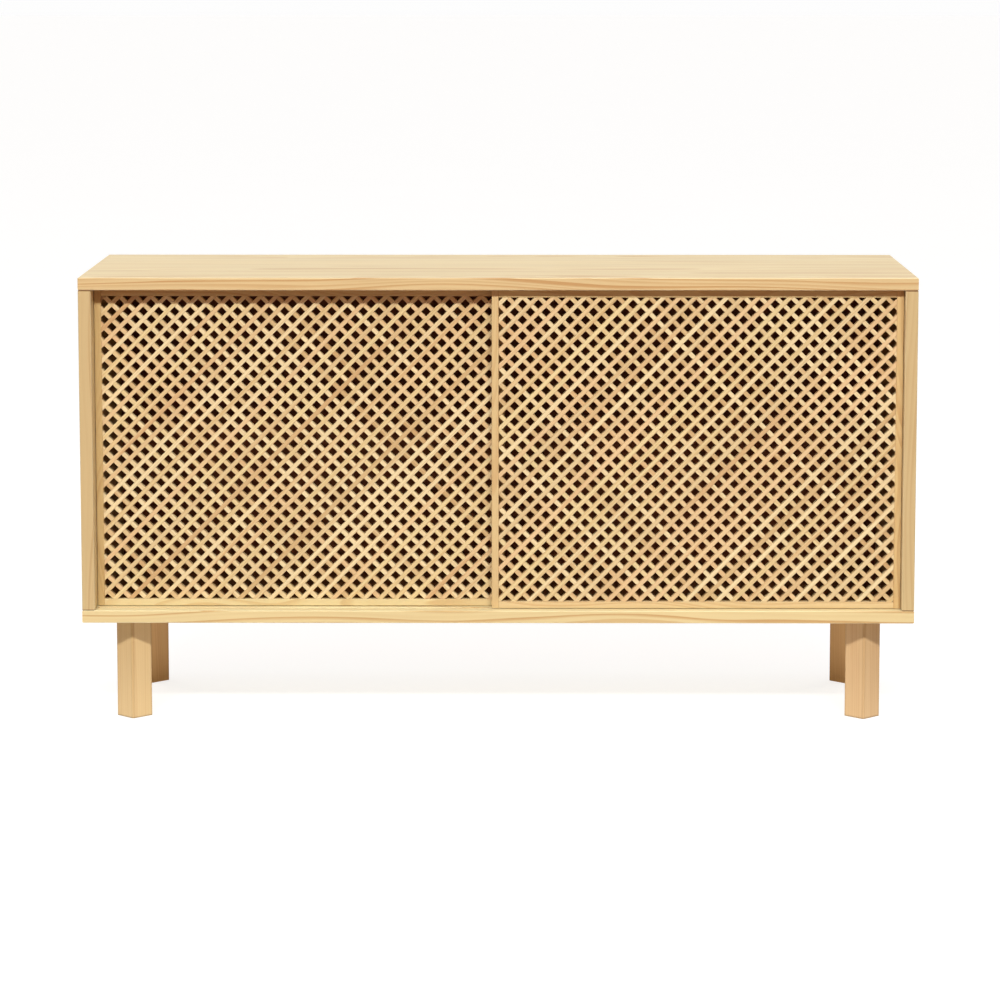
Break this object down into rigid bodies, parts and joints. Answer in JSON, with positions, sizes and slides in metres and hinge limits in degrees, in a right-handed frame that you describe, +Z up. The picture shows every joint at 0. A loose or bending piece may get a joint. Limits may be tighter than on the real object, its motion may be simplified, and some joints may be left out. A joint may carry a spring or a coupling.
{
  "type": "sideboard",
  "caption": "Low pine sideboard on square legs set cornerwise, with lattice doors that slide past each other in tracks in front of a divided cabinet.",
  "frame": {"origin": "on the floor, below the middle of the case", "axes": "+X to the right of someone facing the doors, +Y from the doors to the back, +Z up"},
  "size_m": [1.2, 0.4, 0.65],
  "materials": {
    "pine_board": "glued pine board, sanded, raw",
    "pine_frame": "pine stiles and rails, sanded, raw",
    "pine_slat": "thin pine slats, sanded, raw",
    "pine_leg": "square pine, sanded, raw",
    "plywood_back": "thin reddish plywood, raw",
    "beech_dowel": "turned, raw",
    "zinc_steel": "zinc plated",
    "nylon": "moulded, natural white"
  },
  "bodies": {
    "case": {"top_panel": "pine_board", "bottom_panel": "pine_board", "left_side": "pine_board", "right_side": "pine_board", "centre_divider": "pine_board", "back_panel": "plywood_back", "cam_bolts": "zinc_steel", "cam_discs": "zinc_steel", "divider_dowels": "beech_dowel", "bottom_screws": "zinc_steel", "front_left_leg": "pine_leg", "front_right_leg": "pine_leg", "rear_left_leg": "pine_leg", "rear_right_leg": "pine_leg", "leg_bolts": "zinc_steel", "leg_inserts": "zinc_steel"},
    "left_door": {"left_door_left_stile": "pine_frame", "left_door_right_stile": "pine_frame", "left_door_top_rail": "pine_frame", "left_door_bottom_rail": "pine_frame", "left_door_front_slats": "pine_slat", "left_door_rear_slats": "pine_slat", "left_door_bottom_runners": "nylon", "left_door_top_runners": "nylon"},
    "right_door": {"right_door_left_stile": "pine_frame", "right_door_right_stile": "pine_frame", "right_door_top_rail": "pine_frame", "right_door_bottom_rail": "pine_frame", "right_door_front_slats": "pine_slat", "right_door_rear_slats": "pine_slat", "right_door_bottom_runners": "nylon", "right_door_top_runners": "nylon"}
  },
  "joints": [
    {"name": "left_door_slide", "type": "slide", "parent": "case", "child": "left_door", "axis": [1, 0, 0], "range_m": [0, 0.572]},
    {"name": "right_door_slide", "type": "slide", "parent": "case", "child": "right_door", "axis": [1, 0, 0], "range_m": [-0.572, 0]}
  ]
}
